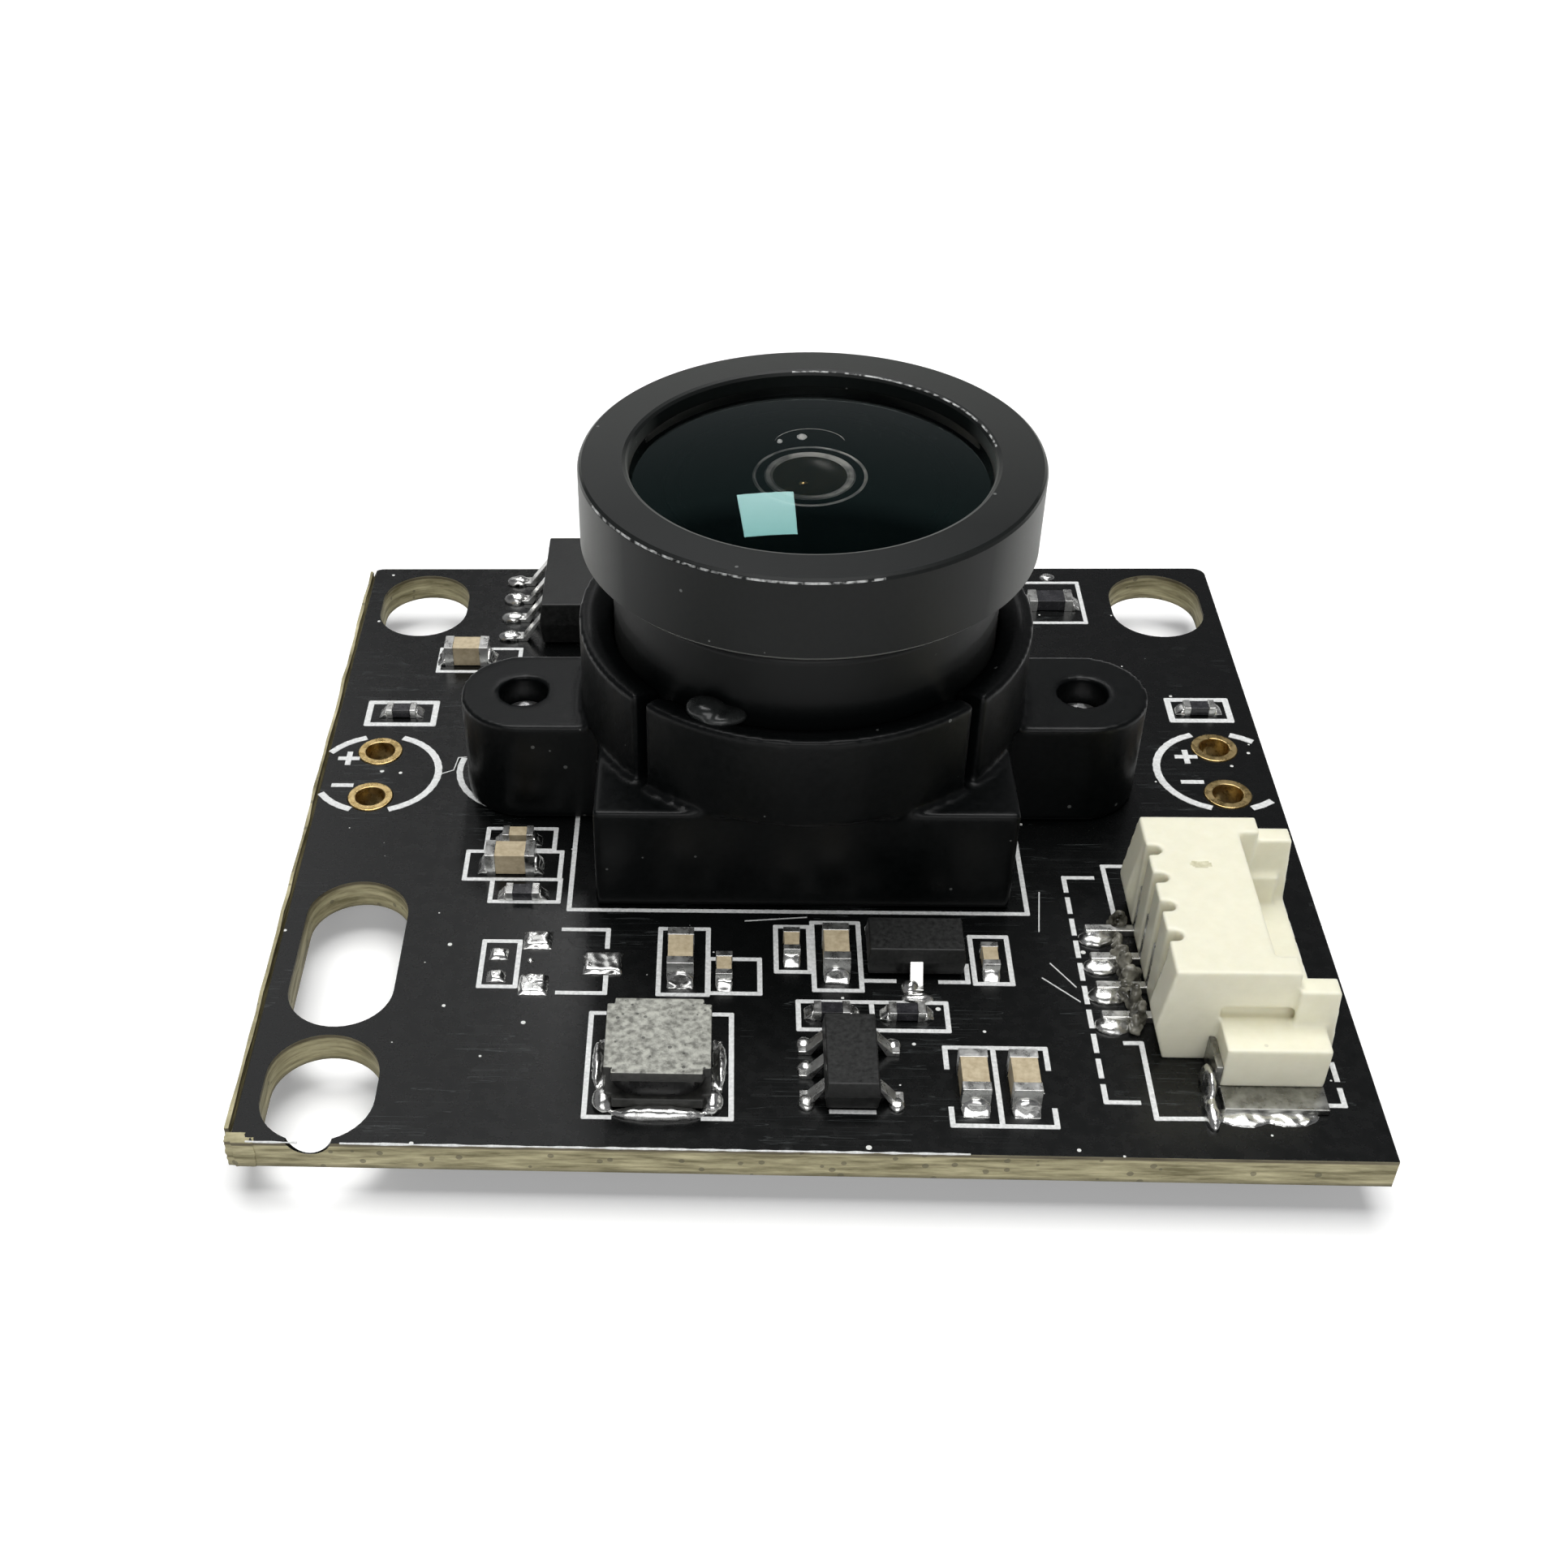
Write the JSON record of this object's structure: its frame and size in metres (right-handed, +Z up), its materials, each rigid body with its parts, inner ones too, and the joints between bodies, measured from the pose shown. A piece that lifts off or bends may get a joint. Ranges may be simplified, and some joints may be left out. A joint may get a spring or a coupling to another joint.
{
  "type": "camera module",
  "caption": "Small circuit board with a fixed wide-angle lens in a slit screwed-on holder, side-entry wire connector, surface-mount parts and obround mounting holes.",
  "frame": {"origin": "middle of the board's outline, in the plane that the parts below the board stand on", "axes": "+Z up along the lens axis, +X towards the connector's side, +Y away from the connector's end"},
  "size_m": [0.032, 0.03, 0.0143],
  "materials": {
    "barrel_metal": "black anodised",
    "blackened_metal": "matt black",
    "board": "gloss black solder mask over glass-epoxy",
    "capacitor_ceramic": "tan ceramic with tinned ends",
    "chip_epoxy": "moulded epoxy",
    "coil_resin": "black coated winding",
    "connector_plastic": "ivory moulded nylon",
    "crystal_metal": "nickel plated lid",
    "ferrite": "speckled grey ferrite",
    "filter_glass": "flat coated glass",
    "glue": "clear set glue",
    "gold_plate": "gold plate",
    "holder_plastic": "moulded black plastic",
    "lens_glass": "coated optical glass",
    "resistor_ceramic": "black glazed face with tinned ends",
    "screw_steel": "black zinc",
    "sensor_ceramic": "matt package",
    "solder": "bright solder",
    "tinned_metal": "tin plate"
  },
  "bodies": {
    "root": {"adhesive_drop": "glue", "aperture_stop": "blackened_metal", "bare_pad_solder": "solder", "bypass_capacitors": "capacitor_ceramic", "circuit_board": "board", "clock_crystal": "crystal_metal", "connector_anchor_tabs": "tinned_metal", "connector_contacts": "tinned_metal", "connector_housing": "connector_plastic", "controller_chip": "chip_epoxy", "converter_chip": "chip_epoxy", "converter_leads": "tinned_metal", "core_bypass_capacitor": "capacitor_ceramic", "core_capacitor": "capacitor_ceramic", "element_spacer": "blackened_metal", "feedback_capacitor": "capacitor_ceramic", "feedback_resistor_left": "resistor_ceramic", "feedback_resistor_right": "resistor_ceramic", "filter_capacitor": "capacitor_ceramic", "front_element": "lens_glass", "holder_screws": "screw_steel", "image_sensor": "sensor_ceramic", "inductor_coil": "coil_resin", "inductor_core": "ferrite", "inductor_terminals": "tinned_metal", "ir_cut_filter": "filter_glass", "led_eyelets": "gold_plate", "led_resistor_left": "resistor_ceramic", "led_resistor_right": "resistor_ceramic", "lens_barrel": "barrel_metal", "lens_holder": "holder_plastic", "memory_capacitor": "capacitor_ceramic", "memory_chip": "chip_epoxy", "memory_chip_leads": "tinned_metal", "output_capacitor": "capacitor_ceramic", "pull_up_resistor": "resistor_ceramic", "rear_element": "lens_glass", "regulator_chip": "chip_epoxy", "regulator_input_capacitor": "capacitor_ceramic", "regulator_leads": "tinned_metal", "regulator_output_capacitor": "capacitor_ceramic", "reset_resistor": "resistor_ceramic", "second_element": "lens_glass", "sensor_cover_glass": "filter_glass", "solder_joints": "solder", "supply_capacitor_left": "capacitor_ceramic", "supply_capacitor_right": "capacitor_ceramic"}
  },
  "joints": []
}
